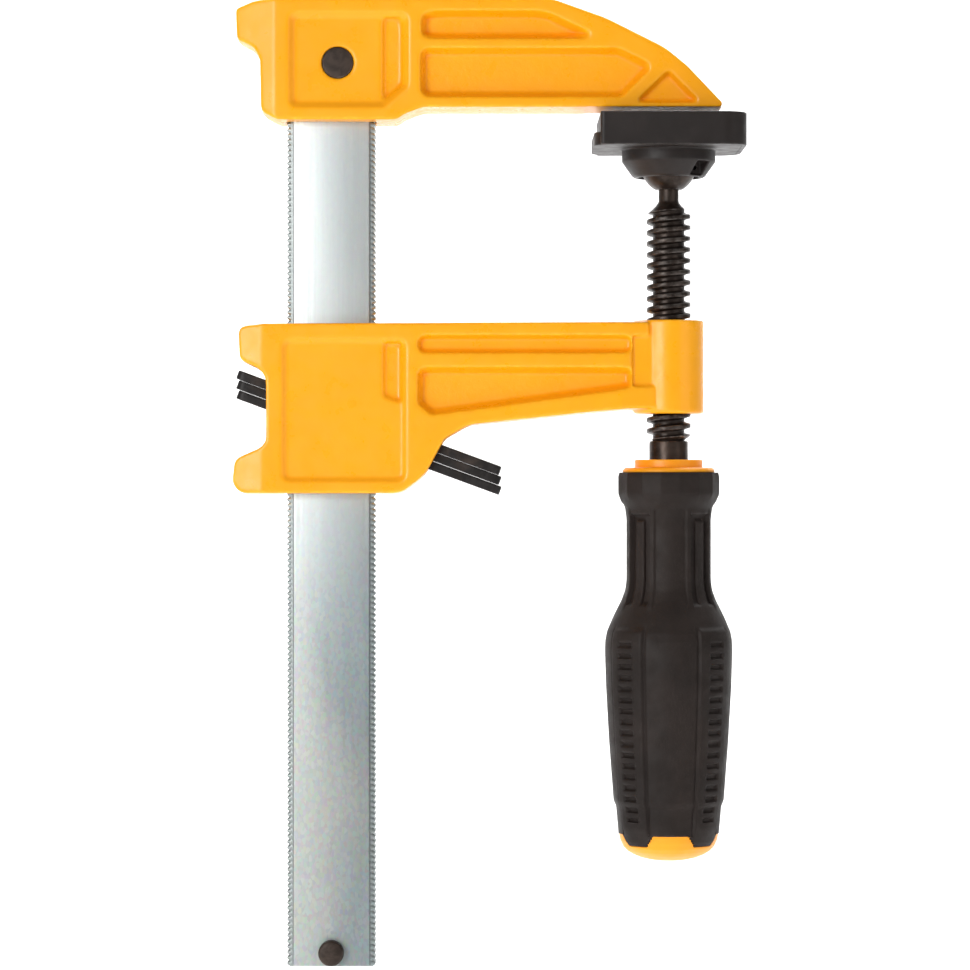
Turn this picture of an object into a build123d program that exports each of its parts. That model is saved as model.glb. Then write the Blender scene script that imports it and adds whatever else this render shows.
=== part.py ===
from build123d import *
import os
from math import cos, radians, sin, tan

os.makedirs("parts", exist_ok=True)

# A 6 inch F clamp, standing with its bar upright. Millimetres.
# The origin is on the screw's axis, in the plane of the fixed jaw's flat face. +Z points up along
# the bar, +X from the bar towards the screw, and the flat sides of the castings face -Y and +Y.

# Bar
BAR_X = -97.2
BAR_WIDTH = 25.4
BAR_THICKNESS = 9.5
BAR_TOP = 26.0
BAR_BOTTOM = -246.6
FLAT_WIDTH = 21.9  # raised middle of each broad side, between the serrated strips
STRIP_THICKNESS = 8.1
TOOTH_PITCH = 25.4 / 16
TOOTH_DEPTH = 0.55
BAR_CLEARANCE = 0.2  # on each side of the bar, in the sliding arm

# Castings
CASTING_THICKNESS = 23.0
DRAFT = 1.5  # degrees, from the parting line at Y = 0
POCKET_DRAFT = 25.0  # degrees, slope of the pockets' walls
PANEL_SLOPE = 50.0  # degrees, slope of the shallow panels' walls
TROUGH_SLOPE = 40.0
TROUGH_DEPTH = 1.3
HEAD_PANEL_DEPTH = 1.5
ARM_PANEL_DEPTH = 1.1
POCKET_DEPTH = 3.6
NARROW_POCKET_DEPTH = 2.3
JAW_SKIN = 0.4  # metal faced off the jaw's underside
JAW_FACE_LEFT = -24.0  # where the faced part of the underside starts

# Pins
HEAD_PIN_X, HEAD_PIN_Z, HEAD_PIN_RADIUS = -95.2, 12.7, 4.5
HEAD_PIN_LENGTH = 20.4
STOP_PIN_Z, STOP_PIN_RADIUS, STOP_PIN_LENGTH = -242.6, 3.65, 17.0
PIN_CLEARANCE = 0.03

# Clutch plates
PLATE_LENGTH = 80.4
PLATE_WIDTH = 16.4
PLATE_THICKNESS = 2.6
PLATE_TILT = 20.2  # degrees, tails low
PLATE_PITCH = 2.86  # vertical
PLATE_COUNT = 3
PLATE_PLAY = 0.5  # between the bar's edges and the window, along the plate
PLATE_SIDE_PLAY = 0.4  # across the plate
PLATE_END_X = -123.6
PLATE_END_Z = -75.2  # upper left corner of the top plate
FULCRUM_X = -114.0
RELEASE_SWING = 7.0  # degrees
CAVITY_WIDTH = 17.0

# Clutch spring
SPRING_X = -76.0
SPRING_TOP = -76.1
SPRING_BOTTOM = -91.2
SPRING_RADIUS = 2.8
SPRING_WIRE = 0.4  # radius
SPRING_TURNS = 7
SPRING_POCKET_RADIUS = 4.0
SPRING_POCKET_BOTTOM = -92.0

# Screw: right-hand trapezoidal thread, 1/2 inch with 8 threads to the inch
SCREW_PITCH = 25.4 / 8
THREAD_RADIUS = 6.35
THREAD_ROOT = 4.6
CREST_WIDTH = 1.15
THREAD_FLANK = 14.5  # degrees
THREAD_CLEARANCE = 0.15
THREAD_BOTTOM = -94.2  # middle of the ridge where it starts
THREAD_TURNS = 20
SEGMENT_TURNS = 4  # the ridge is made a few turns at a time
NUT_TURNS = 7
NUT_START = 2.5  # pitches above THREAD_BOTTOM, where the boss's own ridge starts
NECK_RADIUS = 2.9
SHANK_RADIUS = 5.6
SHANK_END = -172.0
BUTTON_RADIUS = 4.2
BUTTON_TOP = -11.3
BUTTON_BOTTOM = -14.2

# Boss of the sliding arm
BOSS_RADIUS = 10.1
BOSS_TOP = -60.8
BOSS_BOTTOM = -87.7
WEB_END = -10.9  # left of here the web is ribbed; from here it thins towards the screw's axis
WEB_HALF_LEFT, WEB_HALF_RIGHT = 9.4, 8.0  # half its thickness there, and on the axis
WEB_TOP, WEB_BOTTOM = -65.4, -80.0

# Swivel: every joint of the pad turns about the ball's centre
BALL_Z = -16.0
BALL_RADIUS = 8.0
BALL_BOTTOM = -23.0
CAP_BOTTOM = -11.2
RUN = 0.05  # running clearance
RING_RADIUS = 9.0
RING_TOP = -17.4
RING_BOTTOM = -18.6
RING_GROOVE = 9.5  # radius of the sphere that clears the tilting ring
RING_SWING = 1.0  # room above the ring

# Pad
PAD_TOP = -2.1
PAD_BOTTOM = -11.5
PAD_DEPTH = 42.0
PAD_LEFT, PAD_RIGHT = -20.2, 21.6
FLANGE_TOP = -7.7
SEAT_TOP = -6.6  # roof over the ball's socket
SEAT_RADIUS = 11.0
FLANGE_LEFT = -21.9
FLANGE_INSET = 1.4  # from the face cap's sides to the flange's
FLANGE_CORNER = 6.0
CUP_RADIUS = 13.5
CUP_SHOULDER = -15.0
CUP_BOTTOM = -19.6
WINDOW_WIDTH, WINDOW_HEIGHT, WINDOW_Z = 5.2, 4.0, -17.2
WINDOW_ANGLE = -42.0  # degrees from +X; the second window is opposite the first

# Handle
COLLAR_TOP = -100.9
COLLAR_RADIUS = 9.75
GRIP_TOP = -104.6
CORE_RADIUS = 9.0
GRIP_END = -208.5
HANDLE_END = -216.6
TAB_END = -211.6
TAB_INNER_RADIUS = 11.6
TAB_WIDTH = 7.2
STRIP_TOP = -149.0  # raised strips along the grip
STRIP_END = -207.5
STRIP_WIDTH = 11.4
HANDLE_PIN_Z = -122.0
HANDLE_PIN_RADIUS = 1.5


def outline(points, radii):
    """A flat face with straight sides and the given radius at each corner."""
    return make_face(FilletPolyline(*points, radius=radii, close=True))


def slab(points, radii, thickness, draft=0.0):
    """An outline in X and Z, thickened to both sides of Y = 0 with draft from the middle."""
    half = extrude(Plane.XZ * outline(points, radii), amount=thickness / 2, taper=draft)
    return half + mirror(half, about=Plane.XZ)


def pockets(points, radii, face, depth, slope=POCKET_DRAFT):
    """The tool for a pocket, with sloping walls, in both broad sides of a casting."""
    side = Plane(origin=(0, -face, 0), x_dir=(1, 0, 0), z_dir=(0, 1, 0))
    flipped = [(x, -z) for x, z in points]
    tool = extrude(side * outline(flipped, radii), amount=depth, taper=slope)
    return tool + mirror(tool, about=Plane.XZ)


def block(x0, x1, y0, y1, z0, z1):
    """A box between two corners."""
    centre = Pos((x0 + x1) / 2, (y0 + y1) / 2, (z0 + z1) / 2)
    return centre * Box(x1 - x0, y1 - y0, z1 - z0)


def post(radius, z0, z1, x=0):
    """An upright cylinder between two heights."""
    return Pos(x, 0, (z0 + z1) / 2) * Cylinder(radius, z1 - z0)


def turned(points):
    """A body of revolution about the screw's axis from its outline in radius and Z."""
    return revolve(Plane.XZ * make_face(Polyline(*points, close=True)), axis=Axis.Z)


def cross_pin(x, z, radius, length):
    """A cylinder along Y."""
    return Pos(x, 0, z) * Rot(90, 0, 0) * Cylinder(radius, length)


def handle_cross_pin(radius, length):
    """A cylinder along X through the handle's core and the screw's shank."""
    return Pos(0, 0, HANDLE_PIN_Z) * Rot(0, 90, 0) * Cylinder(radius, length)


def end_wedges(x_full, x_end, half_end, z0, z1):
    """The tool that narrows a casting in plan, from its full thickness to 2 x half_end."""
    half = CASTING_THICKNESS / 2 + 1
    beyond = x_end + (x_end - x_full)
    slope = (CASTING_THICKNESS / 2 - half_end) / (x_end - x_full)
    edge = half_end - slope * (beyond - x_end)
    corner = half_end + slope * (x_end - x_full)
    plan = Polyline((x_full, -corner), (beyond, -edge), (beyond, -half), (x_full, -half), close=True)
    wedge = extrude(Pos(0, 0, z0) * make_face(plan), amount=z1 - z0)
    return wedge + mirror(wedge, about=Plane.XZ)


def web_beside_boss():
    """The tool that thins the arm between its rims beside the boss, on both broad sides."""
    half = CASTING_THICKNESS / 2 + 1
    plan = Polyline(
        (WEB_END, -WEB_HALF_LEFT), (0, -WEB_HALF_RIGHT), (0, -half), (WEB_END, -half), close=True,
    )
    tool = extrude(Pos(0, 0, WEB_BOTTOM) * make_face(plan), amount=WEB_TOP - WEB_BOTTOM)
    return tool + mirror(tool, about=Plane.XZ)


def serrated_strip():
    """The full width of the bar, with teeth along both narrow edges."""
    half = BAR_WIDTH / 2
    count = int((BAR_TOP - BAR_BOTTOM) / TOOTH_PITCH)
    edge = []
    for tooth in range(count):
        z = BAR_BOTTOM + tooth * TOOTH_PITCH
        edge.append((half - TOOTH_DEPTH, z))
        edge.append((half, z + 0.35 * TOOTH_PITCH))
        edge.append((half, z + 0.65 * TOOTH_PITCH))
    edge.append((half - TOOTH_DEPTH, BAR_TOP))
    left = [(-x, z) for x, z in reversed(edge)]
    shape = make_face(Polyline(*edge, *left, close=True))
    return Pos(BAR_X, 0, 0) * extrude(Plane.XZ * shape, amount=STRIP_THICKNESS / 2, both=True)


def make_bar():
    half = BAR_THICKNESS / 2
    flat = block(BAR_X - FLAT_WIDTH / 2, BAR_X + FLAT_WIDTH / 2, -half, half, BAR_BOTTOM, BAR_TOP)
    bar = serrated_strip() + flat
    bar -= cross_pin(HEAD_PIN_X, HEAD_PIN_Z, HEAD_PIN_RADIUS + PIN_CLEARANCE, BAR_THICKNESS)
    return bar - cross_pin(BAR_X, STOP_PIN_Z, STOP_PIN_RADIUS + PIN_CLEARANCE, BAR_THICKNESS)


def make_fixed_head():
    """The head's casting: hooked back, box round the bar, ribbed web and pointed jaw."""
    half = CASTING_THICKNESS / 2
    shape = [
        (-124.7, 28.6), (-119.0, 30.8), (-113.0, 31.3), (-34.0, 31.3), (-18.3, 25.7), (-1.2, 17.1),
        (5.0, 12.0), (16.8, -JAW_SKIN), (-70.5, -JAW_SKIN), (-75.5, -2.2), (-78.3, -4.0),
        (-112.5, -4.0), (-117.4, -1.4), (-117.7, 14.0), (-119.6, 17.2), (-124.4, 19.6),
    ]
    radii = [1.5, 8, 6, 14, 30, 20, 15, 1.2, 6, 4, 2, 3, 3, 4, 4, 2]
    head = slab(shape, radii, CASTING_THICKNESS, DRAFT)
    head -= end_wedges(-113.3, -125.0, 7.0, -8, 34)
    box_panel = [(-109.3, 27.2), (-74.7, 27.2), (-74.7, 5.6), (-81.7, -0.4), (-109.3, -0.4)]
    head -= pockets(box_panel, [2.5, 3, 2, 2, 2.5], half, HEAD_PANEL_DEPTH, PANEL_SLOPE)
    trough = [(-82.6, 26.0), (-76.1, 26.0), (-76.1, 6.2), (-82.6, 0.9)]
    head -= pockets(trough, [1, 2.5, 1.5, 0.8], half - HEAD_PANEL_DEPTH, TROUGH_DEPTH, TROUGH_SLOPE)
    upper = [(-71.4, 27.6), (-35.8, 27.6), (-22.8, 21.4), (-22.8, 19.3), (-71.4, 19.3)]
    head -= pockets(upper, [3, 10, 1.2, 1, 2.5], half, POCKET_DEPTH)
    lower = [(-71.6, 16.9), (-14.7, 16.9), (-4.6, 11.8), (-13.6, 2.6), (-71.6, 2.6)]
    head -= pockets(lower, [2.5, 6, 2, 2.5, 3], half, POCKET_DEPTH)
    tip = [(-0.6, 10.8), (9.2, 0.9), (-10.8, 0.9)]
    head -= pockets(tip, [1.4, 1.0, 1.0], half, NARROW_POCKET_DEPTH)
    bar_half = BAR_WIDTH / 2 + PIN_CLEARANCE
    bar_side = BAR_THICKNESS / 2 + PIN_CLEARANCE
    head -= block(BAR_X - bar_half, BAR_X + bar_half, -bar_side, bar_side, -10, BAR_TOP + PIN_CLEARANCE)
    head -= block(JAW_FACE_LEFT, 20, -half - 1, half + 1, -5, 0)
    return head - cross_pin(HEAD_PIN_X, HEAD_PIN_Z, HEAD_PIN_RADIUS + PIN_CLEARANCE, 40)


def plate_line(x, tilt=PLATE_TILT):
    """Height, at x, of a line through the fulcrum that falls to the right at the given tilt."""
    fulcrum_z = PLATE_END_Z - (FULCRUM_X - PLATE_END_X) * tan(radians(PLATE_TILT))
    return fulcrum_z - (x - FULCRUM_X) * tan(radians(tilt))


def clutch_cavity():
    """The room inside the arm for the clutch plates and their swing."""
    swing_tilt = PLATE_TILT - RELEASE_SWING - 1.2
    stack = (PLATE_COUNT - 1) * PLATE_PITCH + PLATE_THICKNESS / cos(radians(PLATE_TILT))
    left, right = -127.0, -44.0
    side = [
        (left, plate_line(left) + 1.2), (FULCRUM_X, plate_line(FULCRUM_X) + 0.15),
        (right, plate_line(right, swing_tilt)), (right, plate_line(right) - stack - 1.6),
        (left, plate_line(left) - stack - 1.6),
    ]
    return slab(side, [0] * len(side), CAVITY_WIDTH)


def ridge_half(radius):
    """Half the width of the screw's ridge at a radius."""
    return CREST_WIDTH / 2 + (THREAD_RADIUS - radius) * tan(radians(THREAD_FLANK))


def groove_half(radius):
    """Half the width that the nut's ridge may have in the screw's groove at a radius."""
    return SCREW_PITCH / 2 - ridge_half(radius) - THREAD_CLEARANCE


def helical_ridge(start, turns, inner, outer, half):
    """A ridge wound about the screw's axis; half gives half its width at a radius."""
    path = Helix(SCREW_PITCH, turns * SCREW_PITCH, inner, center=(0, 0, start))
    section = Polyline(
        (inner, start - half(inner)), (outer, start - half(outer)),
        (outer, start + half(outer)), (inner, start + half(inner)), close=True,
    )
    return sweep(Plane.XZ * make_face(section), path=path, is_frenet=True)


def make_sliding_arm():
    """The arm's casting: box round the bar, webbed arm and threaded boss."""
    half = CASTING_THICKNESS / 2
    shape = [
        (-123.9, -62.6), (-116.0, -61.7), (-6.0, BOSS_TOP - 0.4), (-4.0, BOSS_BOTTOM + 1.2), (-11.7, -86.6),
        (-22.1, -87.5), (-57.5, -91.2), (-64.4, -95.2), (-70.0, -105.6), (-77.0, -110.8),
        (-123.8, -110.8), (-125.6, -107.2), (-124.9, -100.6), (-115.9, -96.6), (-115.9, -76.0),
        (-123.5, -72.4),
    ]
    radii = [2.5, 6, 0, 0, 3, 10, 9, 3, 14, 7, 4, 3, 3.5, 3.5, 5, 2.5]
    arm = slab(shape, radii, CASTING_THICKNESS, DRAFT)
    arm -= end_wedges(-14.0, -3.0, 9.0, -92, -58)
    arm -= end_wedges(-117.0, -126.0, 9.5, -112, -60)
    arm -= web_beside_boss()
    arm += post(BOSS_RADIUS, BOSS_BOTTOM, BOSS_TOP)
    panel = [(-111.2, -66.2), (-75.4, -66.2), (-75.4, -107.4), (-111.2, -107.4)]
    arm -= pockets(panel, [2.5, 2.5, 2.5, 2.5], half, ARM_PANEL_DEPTH, PANEL_SLOPE)
    trough = [(-82.4, -67.0), (-76.4, -67.0), (-76.4, -85.4), (-82.4, -83.0)]
    arm -= pockets(trough, [1.2, 1.2, 1.2, 1.2], half - ARM_PANEL_DEPTH, TROUGH_DEPTH, TROUGH_SLOPE)
    upper = [(-72.4, -65.2), (-10.5, -65.2), (-10.5, -70.6), (-72.4, -70.6)]
    arm -= pockets(upper, [2.4, 2, 2, 2.4], half, NARROW_POCKET_DEPTH)
    lower = [(-72.4, -74.4), (-10.5, -74.4), (-10.5, -80.6), (-68.4, -88.4), (-72.4, -85.0)]
    arm -= pockets(lower, [2.5, 2, 2, 3, 2], half, POCKET_DEPTH)
    slot_half = BAR_WIDTH / 2 + BAR_CLEARANCE
    slot_side = BAR_THICKNESS / 2 + BAR_CLEARANCE
    arm -= block(BAR_X - slot_half, BAR_X + slot_half, -slot_side, slot_side, -115, -58)
    arm -= clutch_cavity()
    arm -= post(SPRING_POCKET_RADIUS, SPRING_POCKET_BOTTOM, SPRING_TOP, SPRING_X)
    bore = THREAD_RADIUS + THREAD_CLEARANCE
    arm -= post(bore, BOSS_BOTTOM - 1, BOSS_TOP + 1)
    for turn in range(NUT_TURNS):
        start = THREAD_BOTTOM + (NUT_START + turn) * SCREW_PITCH
        arm += helical_ridge(start, 1, THREAD_ROOT + THREAD_CLEARANCE, bore + 0.4, groove_half)
    return arm


def make_clutch_plate(level):
    """One clutch plate, tilted, with the window that the bar runs through."""
    tilt = radians(PLATE_TILT)
    plate = Pos(PLATE_LENGTH / 2, 0, -PLATE_THICKNESS / 2) * Box(PLATE_LENGTH, PLATE_WIDTH, PLATE_THICKNESS)
    plate = fillet(plate.edges().filter_by(Axis.Z), 2.0)
    window = (BAR_WIDTH + PLATE_PLAY + PLATE_THICKNESS * sin(tilt)) / cos(tilt)
    middle = (BAR_X - PLATE_END_X + PLATE_THICKNESS / 2 * sin(tilt)) / cos(tilt)
    plate -= Pos(middle, 0, 0) * Box(window, BAR_THICKNESS + PLATE_SIDE_PLAY, 4 * PLATE_THICKNESS)
    end_z = PLATE_END_Z - level * PLATE_PITCH
    return Pos(PLATE_END_X, 0, end_z) * Rot(0, PLATE_TILT, 0) * plate


def make_clutch_spring():
    """The compression spring that holds the plates' tails down."""
    height = SPRING_TOP - SPRING_BOTTOM - 2 * SPRING_WIRE
    path = Helix(height / SPRING_TURNS, height, SPRING_RADIUS)
    wire = sweep(Plane(origin=path @ 0, z_dir=path % 0) * Circle(SPRING_WIRE), path=path, is_frenet=True)
    return Pos(SPRING_X, 0, SPRING_BOTTOM + SPRING_WIRE) * wire


def make_spindle():
    """The screw, from its riveted button down to the shank inside the handle."""
    spindle = turned([
        (0, BUTTON_TOP), (BUTTON_RADIUS, BUTTON_TOP), (BUTTON_RADIUS, BUTTON_BOTTOM),
        (NECK_RADIUS, BUTTON_BOTTOM), (NECK_RADIUS, -26.2), (THREAD_ROOT, -29.3),
        (THREAD_ROOT, THREAD_BOTTOM - 1.4), (SHANK_RADIUS, THREAD_BOTTOM - 1.4),
        (SHANK_RADIUS, SHANK_END), (0, SHANK_END),
    ])
    for segment in range(THREAD_TURNS // SEGMENT_TURNS):
        start = THREAD_BOTTOM + segment * SEGMENT_TURNS * SCREW_PITCH
        spindle += helical_ridge(start, SEGMENT_TURNS, THREAD_ROOT - 0.3, THREAD_RADIUS, ridge_half)
    return spindle - handle_cross_pin(HANDLE_PIN_RADIUS + PIN_CLEARANCE, 4 * CORE_RADIUS)


def ball(radius=BALL_RADIUS):
    return Pos(0, 0, BALL_Z) * Sphere(radius)


def make_swivel_ball():
    """The ball bush that turns on the screw's neck behind the riveted button."""
    bush = ball() & block(-20, 20, -20, 20, BALL_BOTTOM, CAP_BOTTOM - RUN)
    bush -= post(NECK_RADIUS + RUN, BALL_BOTTOM - 1, CAP_BOTTOM)
    return bush - post(BUTTON_RADIUS + RUN, BUTTON_BOTTOM - RUN, CAP_BOTTOM)


def make_thrust_cap():
    """The crown of the ball: it takes the screw's push and passes it to the pad."""
    return ball() & block(-20, 20, -20, 20, CAP_BOTTOM, 0)


def make_ball_retainer():
    """The ring below the ball's middle that keeps the cup on the ball."""
    return post(RING_RADIUS, RING_BOTTOM, RING_TOP) - ball(BALL_RADIUS + RUN)


def make_pad_body():
    """The pad's base: flange, and the cup whose socket holds the ball."""
    half = PAD_DEPTH / 2 - FLANGE_INSET
    flange = block(FLANGE_LEFT, PAD_RIGHT - FLANGE_INSET, -half, half, PAD_BOTTOM, FLANGE_TOP)
    flange = fillet(flange.edges().filter_by(Axis.Z), FLANGE_CORNER)
    cup = turned([
        (0, SEAT_TOP), (SEAT_RADIUS, SEAT_TOP), (SEAT_RADIUS, FLANGE_TOP), (CUP_RADIUS, FLANGE_TOP),
        (CUP_RADIUS, CUP_SHOULDER), (10.6, CUP_BOTTOM + 0.5), (9.9, CUP_BOTTOM), (0, CUP_BOTTOM),
    ])
    body = flange + cup - ball(BALL_RADIUS + RUN)
    body -= ball(RING_GROOVE) & post(CUP_RADIUS, CUP_BOTTOM - 1, RING_TOP + RING_SWING)
    window = Pos(RING_GROOVE + 2.5, 0, WINDOW_Z) * Box(5.0, WINDOW_WIDTH, WINDOW_HEIGHT)
    for turn in (WINDOW_ANGLE, WINDOW_ANGLE + 180):
        body -= Rot(0, 0, turn) * window
    return body


def make_pad_face():
    """The face cap, which slides over the base's flange from the right."""
    half = PAD_DEPTH / 2
    cap = block(PAD_LEFT, PAD_RIGHT, -half, half, PAD_BOTTOM, PAD_TOP)
    uprights = cap.edges().filter_by(Axis.Z)
    cap = fillet(uprights.group_by(Axis.X)[-1], 6.5)
    cap = fillet(cap.edges().filter_by(Axis.Z).group_by(Axis.X)[0], 1.0)
    inner = half - FLANGE_INSET + RUN
    room_right = PAD_RIGHT - FLANGE_INSET + RUN
    room = block(FLANGE_LEFT - 5, room_right, -inner, inner, PAD_BOTTOM - 5, FLANGE_TOP + RUN)
    room = fillet(room.edges().filter_by(Axis.Z).group_by(Axis.X)[-1], FLANGE_CORNER)
    return cap - room - post(SEAT_RADIUS + RUN, FLANGE_TOP - 1, SEAT_TOP + RUN)


def end_dome():
    """The rounded end of the handle, from where the grip stops."""
    profile = make_face([
        Line((0, GRIP_END), (14.5, GRIP_END)),
        Line((14.5, GRIP_END), (13.2, -212.4)),
        Spline((13.2, -212.4), (8.4, -215.4), (0, HANDLE_END), tangents=[(-0.55, -0.83), (-1, 0)]),
        Line((0, HANDLE_END), (0, GRIP_END)),
    ])
    return revolve(Plane.XZ * profile, axis=Axis.Z)


def grip_tabs():
    """Four tongues by which the grip laps over the handle's domed end."""
    shell = end_dome() & post(20, TAB_END, GRIP_END)
    shell -= post(TAB_INNER_RADIUS, HANDLE_END, GRIP_END + 1)
    tabs = Part()
    bar = block(0, 20, -TAB_WIDTH / 2, TAB_WIDTH / 2, TAB_END, GRIP_END)
    for quarter in range(4):
        sector = Rot(0, 0, 45 + 90 * quarter) * bar
        tabs += shell & sector
    return tabs


def make_handle_core():
    """The yellow core: stepped collar, stem and domed end in one moulding."""
    core = turned([
        (0, COLLAR_TOP), (COLLAR_RADIUS, COLLAR_TOP), (COLLAR_RADIUS, -103.2), (12.6, -103.2),
        (13.3, -103.8), (13.3, GRIP_TOP), (CORE_RADIUS, GRIP_TOP), (CORE_RADIUS, GRIP_END), (0, GRIP_END),
    ])
    core += end_dome()
    core -= grip_tabs()
    core -= post(SHANK_RADIUS + PIN_CLEARANCE, SHANK_END - 1, COLLAR_TOP + 1)
    return core - handle_cross_pin(HANDLE_PIN_RADIUS + PIN_CLEARANCE, 4 * CORE_RADIUS)


def make_handle_grip():
    """The moulded grip, with four raised strips and the tongues at its end."""
    shape = [
        (CORE_RADIUS, GRIP_TOP), (14.2, GRIP_TOP), (14.7, -105.3), (14.7, -111.0), (12.9, -114.6),
        (12.5, -118.0), (12.5, -136.0), (13.6, -141.0), (16.2, -146.6), (17.9, -150.4), (18.4, -155.0),
        (18.1, -166.0), (17.2, -182.0), (15.8, -199.0), (15.0, -201.6), (14.5, GRIP_END),
        (CORE_RADIUS, GRIP_END),
    ]
    grip = turned(shape)
    strips = turned([
        (12, STRIP_TOP), (17.9, STRIP_TOP), (18.9, -152.5), (18.9, -156.0), (18.3, -171.0),
        (17.2, -188.0), (15.5, STRIP_END), (12, STRIP_END),
    ])
    bar = block(0, 30, -STRIP_WIDTH / 2, STRIP_WIDTH / 2, STRIP_END, STRIP_TOP)
    for quarter in range(4):
        sector = Rot(0, 0, 45 + 90 * quarter) * bar
        grip += strips & sector
    return grip + grip_tabs()


PARTS = {
    "bar": make_bar,
    "fixed_head": make_fixed_head,
    "head_pin": lambda: cross_pin(HEAD_PIN_X, HEAD_PIN_Z, HEAD_PIN_RADIUS, HEAD_PIN_LENGTH),
    "stop_pin": lambda: cross_pin(BAR_X, STOP_PIN_Z, STOP_PIN_RADIUS, STOP_PIN_LENGTH),
    "sliding_arm": make_sliding_arm,
    "clutch_plate_top": lambda: make_clutch_plate(0),
    "clutch_plate_middle": lambda: make_clutch_plate(1),
    "clutch_plate_bottom": lambda: make_clutch_plate(2),
    "clutch_spring": make_clutch_spring,
    "spindle": make_spindle,
    "swivel_ball": make_swivel_ball,
    "thrust_cap": make_thrust_cap,
    "ball_retainer": make_ball_retainer,
    "pad_body": make_pad_body,
    "pad_face": make_pad_face,
    "handle_core": make_handle_core,
    "handle_grip": make_handle_grip,
    "handle_pin": lambda: handle_cross_pin(HANDLE_PIN_RADIUS, 2 * CORE_RADIUS - 0.4),
}

for node, make in PARTS.items():
    export_step(make(), f"parts/{node}.step")
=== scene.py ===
import math

import bmesh
import bpy
import numpy as np
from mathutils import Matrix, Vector


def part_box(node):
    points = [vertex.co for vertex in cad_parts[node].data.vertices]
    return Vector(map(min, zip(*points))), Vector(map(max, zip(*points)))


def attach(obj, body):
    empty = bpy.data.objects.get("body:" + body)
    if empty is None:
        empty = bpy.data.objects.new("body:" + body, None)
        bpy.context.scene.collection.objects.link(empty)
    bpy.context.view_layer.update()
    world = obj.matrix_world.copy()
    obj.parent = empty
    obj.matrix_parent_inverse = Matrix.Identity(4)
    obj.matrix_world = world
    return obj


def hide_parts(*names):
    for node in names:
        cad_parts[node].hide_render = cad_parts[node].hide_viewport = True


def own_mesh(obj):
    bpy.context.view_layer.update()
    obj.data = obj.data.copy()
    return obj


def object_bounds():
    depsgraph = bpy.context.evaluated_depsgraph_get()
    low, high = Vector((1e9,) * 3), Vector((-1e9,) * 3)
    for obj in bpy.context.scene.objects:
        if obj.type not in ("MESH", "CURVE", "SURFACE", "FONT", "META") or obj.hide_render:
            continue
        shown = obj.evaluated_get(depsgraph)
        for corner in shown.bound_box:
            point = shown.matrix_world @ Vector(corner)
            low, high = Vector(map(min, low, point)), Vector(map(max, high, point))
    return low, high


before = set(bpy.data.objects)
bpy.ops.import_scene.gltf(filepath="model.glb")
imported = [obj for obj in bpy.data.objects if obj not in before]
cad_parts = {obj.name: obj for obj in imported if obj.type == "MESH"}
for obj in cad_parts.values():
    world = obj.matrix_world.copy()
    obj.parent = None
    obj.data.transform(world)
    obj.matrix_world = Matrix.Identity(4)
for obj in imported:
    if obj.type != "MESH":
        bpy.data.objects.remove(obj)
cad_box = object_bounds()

# The looks of the F clamp. Shapes are worked out in millimetres in the CAD frame: the screw's axis is Z,
# +X points from the bar to the screw, and the front of the clamp faces -Y.
MM = 0.001

YELLOW = (0.945, 0.385, 0.003)
DEEP_YELLOW = (0.915, 0.340, 0.002)
# Deeper orange used for painted shade in the concave corners
SHADE_ORANGE = (0.88, 0.235, 0.002)
PALE_YELLOW = (0.99, 0.49, 0.02)

THREAD_PITCH = 25.4 / 8
THREAD_RADIUS = 6.35
THREAD_ROOT = 4.6
CREST_WIDTH = 1.15
FLANK = math.tan(math.radians(14.5))
THREAD_BOTTOM, THREAD_TURNS = -94.2, 20
RUN_OUT_START, RUN_OUT_LENGTH = 1.2, 1.6
NECK_RADIUS, CONE_TOP, CONE_SLOPE = 2.9, -26.9, 1.05
BUTTON_RADIUS, BUTTON_BOTTOM, NECK_BOTTOM = 4.2, -14.2, -26.6
CORE_TOP_RADIUS, CORE_TOP, CORE_RADIUS = 4.3, -28.4, 4.5
SHANK_RADIUS, SHANK_TOP = 5.6, THREAD_BOTTOM - 1.3

BAR_WIDTH, BAR_THICKNESS = 25.4, 9.5
FLAT_WIDTH, STRIP_THICKNESS = 21.9, 8.1
TOOTH_PITCH, TOOTH_DEPTH = 25.4 / 16, 0.55

GRIP_TOP, GRIP_END, TAB_END, HANDLE_END = -104.6, -208.5, -211.6, -216.6
GRIP_BORE = 9.05
COLLAR_TOP, COLLAR_RADIUS, FLANGE_TOP, FLANGE_RADIUS = -100.9, 9.75, -103.2, 13.3
STEM_RADIUS, CORE_BORE, CORE_BORE_END, TAB_SEAT_RADIUS = 9.0, 5.65, -171.9, 11.6

SPRING_WIRE, SPRING_TURNS, CLOSED_TURNS = 0.4, 8.5, 0.75


# ---------------------------------------------------------------- meshes

def box_mm(node):
    """A CAD node's lowest and highest corners, in mm."""
    low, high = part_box(node)
    return np.array(low) / MM, np.array(high) / MM


def smoothstep(low, high, value):
    """Rises smoothly from 0 at low to 1 at high; low may be the larger of the two."""
    t = np.clip((value - low) / (high - low), 0, 1)
    return t * t * (3 - 2 * t)


def new_piece(name, mesh, body, slot, *nodes):
    """Puts a mesh in the scene as a piece that stands for the named CAD nodes."""
    piece = bpy.data.objects.new(name, mesh)
    bpy.context.scene.collection.objects.link(piece)
    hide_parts(*nodes)
    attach(piece, body)
    return piece


def tidied(mesh, sharp_angle):
    """Merges doubled points, turns the faces outwards and shades smooth up to an angle in degrees."""
    work = bmesh.new()
    work.from_mesh(mesh)
    bmesh.ops.remove_doubles(work, verts=work.verts, dist=2e-6)
    bmesh.ops.recalc_face_normals(work, faces=work.faces)
    work.to_mesh(mesh)
    work.free()
    mesh.polygons.foreach_set("use_smooth", [True] * len(mesh.polygons))
    mesh.set_sharp_from_angle(angle=math.radians(sharp_angle))
    return mesh


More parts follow.
